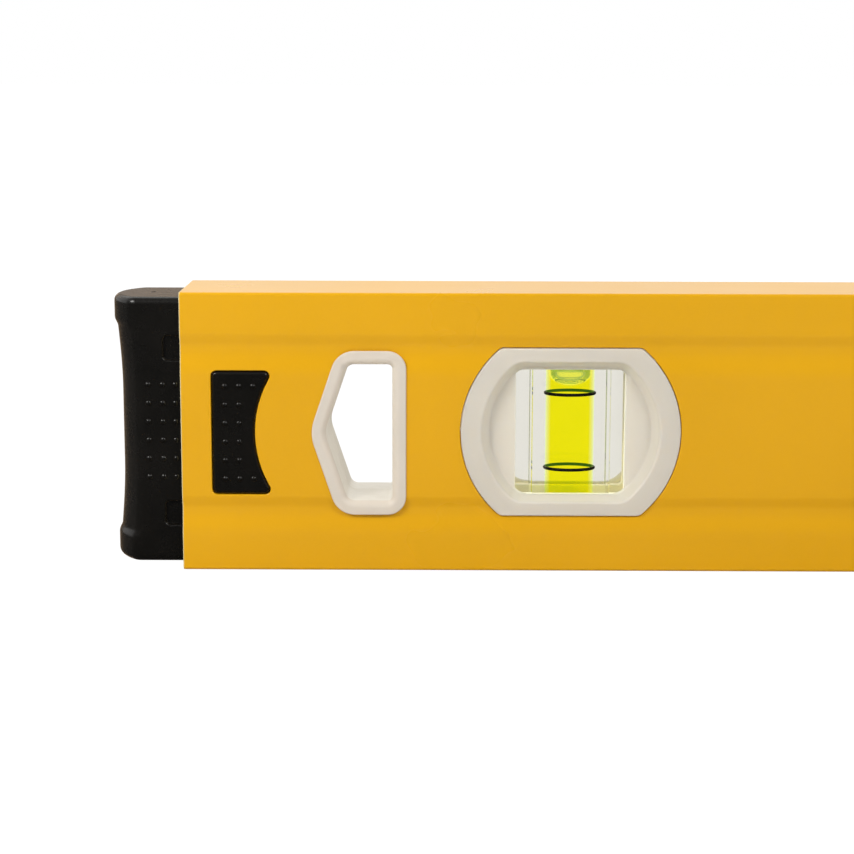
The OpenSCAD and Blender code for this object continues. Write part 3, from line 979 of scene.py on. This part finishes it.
# ---------------------------------------- latch pads
# PAD_FOOT is where the wider foot, under the wall of the beam, starts and ends. Only the top and
# bottom dots of the last column are there, because the scoop takes the place of the others.
PAD_GAP = 0.2
PAD_EDGE = 0.7
PAD_FOOT = (8.3, 10.3)
PAD_FOOT_OUT = 1.0
PAD_DOT_X = (9.4, 12.4, 15.4)


def make_pad(end, side, face_name, face):
    low, high = PAD_FOOT
    foot = [(PAD_FOOT_OUT, low), (PAD_FOOT_OUT, high), (-PAD_GAP, high)]
    head = [
        (-PAD_GAP - inwards, HALF_T - PAD_EDGE + along)
        for inwards, along in round_steps(PAD_EDGE, 5)
    ]
    loops = [at_y(latch_outline(grow), -y) for grow, y in foot + head]
    pad = mesh_object(f"{end}_pad_{face_name}", loft(loops), end_spot(side, face))
    places = [
        (x, DOT_SINK - HALF_T, z)
        for x in PAD_DOT_X
        for z in DOT_Z
        if x < PAD_DOT_X[-1] or abs(z) == DOT_Z[-1]
    ]
    add_dots(pad, places, end_spot(side, face))
    smooth(pad, angle=42)
    dress(pad, "pad_rubber", f"{end}_{face_name}_latch", f"{end}_latch_pad_{face_name}")


# ---------------------------------------- hand hold liners
# Edge rounds: of the flange's rim, of the opening, and where the two halves meet. LINER_MEET is
# half the gap between the halves.
LINER_RIM = 0.3
LINER_EDGE = 1.5
LINER_SEAM = 0.12
LINER_MEET = 0.03


def make_liner(end, side, face_name, face):
    """Half a liner: a tube through the wall with a flange on the face.

    Its outline is swept round as pairs of how far inside HOLD_CORNERS and how far from the middle.
    """
    out_y = HALF_T + HOLD_PROUD
    tube = HOLD_LAP + HOLD_GAP
    profile = [(tube, LINER_MEET), (tube, HALF_T), (0.05, HALF_T)]
    profile += [
        (inwards, out_y - LINER_RIM + along) for inwards, along in round_steps(LINER_RIM, 4)
    ]
    profile += [
        (HOLD_FLANGE - inwards, out_y - LINER_EDGE + along)
        for inwards, along in reversed(round_steps(LINER_EDGE, 6))
    ]
    profile.append((HOLD_FLANGE, LINER_SEAM + LINER_MEET))
    profile.append((HOLD_FLANGE - LINER_SEAM, LINER_MEET))
    drop = hold_drop(face)
    loops = [
        at_y(moved(rounded(HOLD_CORNERS, inset, 10), 0, -drop * y / out_y), -y)
        for inset, y in profile
    ]
    liner = mesh_object(f"{end}_liner_{face_name}", loft(loops, ring=True), end_spot(side, face))
    smooth(liner, angle=40)
    dress(liner, "liner_plastic", "beam", f"{end}_hold_liner_{face_name}")


# ---------------------------------------- vials
def ray_radius(points, angle):
    """Distance from the origin to a closed outline, in the direction of angle."""
    dx, dy = math.cos(angle), math.sin(angle)
    best = 0.0
    for (ax, ay), (bx, by) in zip(points, points[1:] + points[:1]):
        ex, ey = bx - ax, by - ay
        det = ex * dy - ey * dx
        if abs(det) < 1e-12:
            continue
        t = (ex * ay - ey * ax) / det
        s = (dx * ay - dy * ax) / det
        if t > 0 and -1e-9 <= s <= 1 + 1e-9:
            best = max(best, t)
    return best


def star_loop(points, angles, y):
    """The outline's points at the angles, so that unlike outlines can be joined."""
    out = []
    for a in angles:
        r = ray_radius(points, a)
        out.append((r * math.cos(a), y, r * math.sin(a)))
    return out


def housing_angles(shapes):
    """Even angles and, besides, those of every corner point of the shapes, none too close."""
    turn, least = 2 * math.pi, 0.004
    angles = {round(turn * i / 160, 6) for i in range(160)}
    for shape in shapes:
        for x, y in shape:
            angles.add(round(math.atan2(y, x) % turn, 6))
    ordered = sorted(angles)
    kept = [ordered[0]]
    for a in ordered[1:]:
        if a - kept[-1] > least and a < turn - least:
            kept.append(a)
    return kept


def housing_rim(inset):
    return barrel(HOUSING_R - SEAM, HOUSING_Z - SEAM, HOUSING_CORNER - SEAM, inset)


def make_housing(name, face_name, face, spot, opening_at, pocket):
    """One half of a vial housing: flange, dished recess, window and the space for the block."""
    loops = [(housing_rim(0), 0.0)]
    loops += [
        (housing_rim(inwards), HALF_T - HOUSING_EDGE + along)
        for inwards, along in round_steps(HOUSING_EDGE, 3)
    ]
    slope_r, slope_z = RECESS_TOP[0] - RECESS_FLOOR[0], RECESS_TOP[1] - RECESS_FLOOR[1]
    for t, sink in RECESS_SLOPE:
        r, z = RECESS_TOP[0] - slope_r * t, RECESS_TOP[1] - slope_z * t
        loops.append((barrel(r, z, RECESS_CORNER, 0, 30), HALF_T - sink))
    for inset, sink in WINDOW_EDGE:
        loops.append((opening_at(inset, face), HALF_T - RECESS_D - sink))
    opening = opening_at(0, face)
    loops += [(opening, POCKET_TOP), (pocket, POCKET_TOP), (pocket, 0.0)]
    angles = housing_angles([housing_rim(0), opening, pocket])
    bm = loft([star_loop(shape, angles, -y) for shape, y in loops], ring=True)
    housing = mesh_object(f"{name}_shell_{face_name}", bm, spot)
    smooth(housing, angle=40)
    dress(housing, "housing_plastic", "beam", f"{name}_housing_{face_name}")


def block_outline(low, high):
    """Plan of a clear block: a thick core with a thinner flange on each side."""
    cx, cy, fy = CORE[0] / 2, CORE[1] / 2, FLANGE_T / 2
    return [
        (-low, -fy), (-cx, -fy), (-cx, -cy), (cx, -cy), (cx, -fy), (high, -fy),
        (high, fy), (cx, fy), (cx, cy), (-cx, cy), (-cx, fy), (-low, fy),
    ]


def make_vial(name, spot, low, high):
    """The clear block and what is in it, made along Z round the bore's axis."""
    outline = block_outline(low, high)
    block = mesh_object(
        f"{name}_clear_block",
        loft([at_z(outline, -BLOCK_HALF_L), at_z(outline, BLOCK_HALF_L)]),
        spot,
    )
    smooth(block, angle=30, bevel=BLOCK_EDGE)
    dress(block, "vial_acrylic", "beam", f"{name}_block", f"{name}_stopper")

    radius = BORE_R + SPIRIT_SWELL
    column = [(radius - r, SPIRIT_MID - SPIRIT_HALF_L + z) for r, z in SPIRIT_EDGE]
    column += [(radius - r, SPIRIT_MID + SPIRIT_HALF_L - z) for r, z in reversed(SPIRIT_EDGE)]
    spirit = mesh_object(f"{name}_fluid", loft([at_z(circle(r, 64), z) for r, z in column]), spot)
    smooth(spirit, angle=50)
    dress(spirit, "vial_spirit", "beam", f"{name}_spirit")

    rings = bmesh.new()
    for z in (-RING_AT, RING_AT):
        wire = moved(circle(RING_WIRE, 12), RING_R - RING_WIRE, z)
        wires = []
        for turn in range(72):
            t = math.radians(turn * 5)
            wires.append([(r * math.cos(t), r * math.sin(t), h) for r, h in wire])
        ring = loft(wires, ring=True)
        mesh = bpy.data.meshes.new("ring")
        ring.to_mesh(mesh)
        ring.free()
        rings.from_mesh(mesh)
        bpy.data.meshes.remove(mesh)
    pair = mesh_object(f"{name}_ring_pair", rings, spot)
    smooth(pair, angle=60)
    dress(pair, "ring_black", "beam", f"{name}_rings")


# How tall the rounded lower and upper ends of an upright bubble are.
BUBBLE_FOOT = 2.7
BUBBLE_CROWN = 1.6
BUBBLE_SWELL = 0.3
BUBBLE_LIFT = 0.3
BUBBLE_BLUNT = 0.75


def bubble_profile():
    """Radius and height, from the lower end up, of a bubble held at the end of an upright vial."""
    r = span("left_plumb_bubble", X) + BUBBLE_SWELL
    half = span("left_plumb_bubble", Z) - BUBBLE_LIFT
    mid = centre_of("left_plumb_bubble").z - PLUMB_Z + BUBBLE_LIFT
    turns = [math.radians(3 + 6 * i) for i in range(15)]
    below = [(r * math.sin(a), mid - half + BUBBLE_FOOT * (1 - math.cos(a))) for a in turns]
    above = [(r * math.sin(a), mid + half - BUBBLE_CROWN * (1 - math.cos(a))) for a in turns]
    return below + above[::-1]


def make_bubbles():
    for end, side in SIDES.items():
        loops = [at_z(circle(r, 48), z) for r, z in bubble_profile()]
        bubble = mesh_object(f"{end}_plumb_air", loft(loops), upright_spot(side))
        smooth(bubble, angle=60)
        dress(bubble, "vial_bubble", f"{end}_plumb_bubble", f"{end}_plumb_bubble")
    bm = bmesh.new()
    bmesh.ops.create_uvsphere(bm, u_segments=48, v_segments=32, radius=1)
    half_l, half_w = span("level_bubble", X), span("level_bubble", Y)
    rise = centre_of("level_bubble").z - LEVEL_Z
    for v in bm.verts:
        x, y, z = v.co
        blunt = math.copysign(abs(z) ** BUBBLE_BLUNT, z)
        v.co = (rise + half_w * x, half_w * y, half_l * blunt)
    bubble = mesh_object("level_air", bm, laid_spot())
    smooth(bubble, angle=60)
    dress(bubble, "vial_bubble", "level_bubble", "level_bubble")


# ---------------------------------------- build
def plumb_opening(inset, face):
    """A plumb vial's window; at the back it reaches further down and to the sides."""
    wide, high = WINDOW
    middle = WINDOW_DZ
    if face == FACES["back"]:
        wide += 2 * REAR_WIDER
        high += REAR_LOWER
        middle -= REAR_LOWER / 2
    return moved(box_outline(wide, high, WINDOW_CORNER, inset, 6), 0, middle)


def level_opening(inset, face):
    """The level vial's window, which is the same at both faces."""
    high, wide = WINDOW
    return box_outline(wide, high, WINDOW_CORNER, inset, 6)


def pocket_round(node):
    """The space for a clear block, just wider than its flanges, seen from the housing's middle."""
    lo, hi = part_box(node)
    w = (hi.x - lo.x) / MM + 2 * POCKET_GAP
    h = (hi.z - lo.z) / MM + 2 * POCKET_GAP
    up = (hi.z + lo.z) / 2 / MM - (MID_Z + HOUSING_UP)
    return moved(box_outline(w, h, POCKET_CORNER), 0, up)


raised = Matrix.Translation((0, 0, HOUSING_UP))
plumb_pocket = pocket_round("left_plumb_block")
level_pocket = pocket_round("level_block")
make_beam()
for end, side in SIDES.items():
    make_bumper(end, side)
    for face_name, face in FACES.items():
        make_pad(end, side, face_name, face)
        make_liner(end, side, face_name, face)
        spot = raised @ end_spot(side, face, VIAL_X)
        make_housing(f"{end}_plumb", face_name, face, spot, plumb_opening, plumb_pocket)
    make_vial(f"{end}_plumb", upright_spot(side), BLOCK_FLANGE, BLOCK_FLANGE)
for face_name, face in FACES.items():
    spot = raised @ centre_spot(face)
    make_housing("level", face_name, face, spot, level_opening, level_pocket)
level_lo, level_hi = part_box("level_block")
make_vial("level", laid_spot(), LEVEL_Z - level_lo.z / MM, level_hi.z / MM - LEVEL_Z)
make_bubbles()

# The CAD nodes that stay: their material and the width of their rounded edges.
CAD_LOOKS = {
    "left_cap_plug": ("plug_plastic", 0.25),
    "left_latch_spring": ("spring_steel", 0),
    "right_cap_plug": ("plug_plastic", 0.25),
    "right_latch_spring": ("spring_steel", 0),
    "level_top_bezel": ("bezel_plastic", 0.2),
}
for node, (slot, bevel) in CAD_LOOKS.items():
    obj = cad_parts[node]
    obj.data.materials.clear()
    obj.data.materials.append(MATERIALS[slot])
    if bevel:
        smooth_cad(obj, bevel)


# ---------------------------------------- stage, light and camera
def make_lamp(name, azimuth, elevation, distance, size, power, colour):
    """An area light aimed at the left end's vial; azimuth 0 is straight out of the front face."""
    az, el = math.radians(azimuth), math.radians(elevation)
    way = Vector((math.sin(az) * math.cos(el), -math.cos(az) * math.cos(el), math.sin(el)))
    aim = Vector((BEAM_LO.x + VIAL_X * MM, 0, MID_Z * MM))
    data = bpy.data.lights.new(name, "AREA")
    data.shape = "RECTANGLE"
    data.size, data.size_y = size
    data.energy = power
    data.color = colour
    lamp = bpy.data.objects.new(name, data)
    lamp.location = aim + way * distance
    lamp.rotation_euler = (aim - lamp.location).to_track_quat("-Z", "Y").to_euler()
    bpy.context.scene.collection.objects.link(lamp)


FLOOR_HALF = 9000
FLOOR_GLOW = 1.06
FLOOR_GLOW_SHARE = 0.98


def make_floor():
    """A floor that looks white to the eye and through the vials, but lights the level little."""
    bm = bmesh.new()
    bmesh.ops.create_grid(bm, x_segments=1, y_segments=1, size=FLOOR_HALF)
    floor = mesh_object("studio_floor", bm)
    n = Nodes("studio_floor")
    path = n.add("ShaderNodeLightPath")
    colour = n.mix(path.outputs["Is Glossy Ray"], (0.72, 0.72, 0.72, 1), (0.08, 0.08, 0.08, 1))
    n.principled(Base_Color=colour, Roughness=0.9, Specular_IOR_Level=0.0)
    glow = n.add("ShaderNodeEmission", Color=(1, 1, 1, 1), Strength=FLOOR_GLOW)
    seen = n.maths("MAXIMUM", path.outputs["Is Camera Ray"], path.outputs["Is Transmission Ray"])
    n.blend_shaders(n.maths("MULTIPLY", seen, FLOOR_GLOW_SHARE), glow)
    floor.data.materials.append(n.mat)


# The world's strength as a light, and the Y of the directions where it starts and ends rising.
FRONT_LIGHT, BACK_LIGHT = 0.19, 1.25
FRONT_Y, BACK_Y = -0.5, 0.6


def make_world():
    """White to the eye; as a light it is dim in front of the level and bright behind it."""
    world = bpy.data.worlds.new("studio")
    world.use_nodes = True
    bpy.context.scene.world = world
    tree = world.node_tree
    tree.nodes.clear()
    out = tree.nodes.new("ShaderNodeOutputWorld")
    seen = tree.nodes.new("ShaderNodeBackground")
    seen.inputs["Strength"].default_value = 1.0
    seen.inputs["Color"].default_value = (1, 1, 1, 1)
    lit = tree.nodes.new("ShaderNodeBackground")
    where = tree.nodes.new("ShaderNodeTexCoord")
    split = tree.nodes.new("ShaderNodeSeparateXYZ")
    tree.links.new(where.outputs["Generated"], split.inputs[0])
    ramp = tree.nodes.new("ShaderNodeMapRange")
    ramp.interpolation_type = "SMOOTHSTEP"
    ends = {"From Min": FRONT_Y, "From Max": BACK_Y, "To Min": FRONT_LIGHT, "To Max": BACK_LIGHT}
    for key, value in ends.items():
        ramp.inputs[key].default_value = value
    tree.links.new(split.outputs["Y"], ramp.inputs["Value"])
    tree.links.new(ramp.outputs[0], lit.inputs["Strength"])
    path = tree.nodes.new("ShaderNodeLightPath")
    mix = tree.nodes.new("ShaderNodeMixShader")
    tree.links.new(path.outputs["Is Camera Ray"], mix.inputs[0])
    tree.links.new(lit.outputs[0], mix.inputs[1])
    tree.links.new(seen.outputs[0], mix.inputs[2])
    tree.links.new(mix.outputs[0], out.inputs["Surface"])


# The camera's place in metres, from the left end and the middle of the beam, and turns in radians.
CAMERA_FROM_END = 0.055036
CAMERA_OUT = 0.442498
CAMERA_UP = 0.077886
CAMERA_LENS = 86.59
CAMERA_PITCH = 0.175986
CAMERA_YAW = -0.006101
CAMERA_ROLL = 0.002466


def make_camera():
    """The camera looks along +Y; it is pitched down, turned by its yaw and then rolled."""
    data = bpy.data.cameras.new("camera")
    data.lens = CAMERA_LENS
    data.sensor_width = 36
    data.clip_start = 0.01
    data.clip_end = 50
    camera = bpy.data.objects.new("camera", data)
    p, w, r = CAMERA_PITCH, CAMERA_YAW, CAMERA_ROLL
    forward = Vector((math.sin(w) * math.cos(p), math.cos(w) * math.cos(p), -math.sin(p)))
    right = Vector((math.cos(w), -math.sin(w), 0))
    down = forward.cross(right)
    cam_x = math.cos(r) * right - math.sin(r) * down
    cam_y = -(math.sin(r) * right + math.cos(r) * down)
    turn = Matrix((cam_x, cam_y, -forward)).transposed().to_4x4()
    place = Vector((BEAM_LO.x + CAMERA_FROM_END, -CAMERA_OUT, MID_Z * MM + CAMERA_UP))
    camera.matrix_world = Matrix.Translation(place) @ turn
    bpy.context.scene.collection.objects.link(camera)
    bpy.context.scene.camera = camera


make_floor()
make_world()
make_lamp(
    "key", azimuth=-48, elevation=35, distance=0.8,
    size=(0.30, 0.26), power=4.0, colour=(1.0, 0.985, 0.96),
)
make_lamp(
    "fill", azimuth=46, elevation=35, distance=1.8,
    size=(0.6, 0.5), power=12.0, colour=(0.99, 0.99, 1.0),
)
make_lamp(
    "back", azimuth=180, elevation=42, distance=1.4,
    size=(1.6, 0.8), power=3.8, colour=(0.93, 1.0, 0.95),
)
make_camera()
bpy.context.scene.view_settings.view_transform = "Standard"
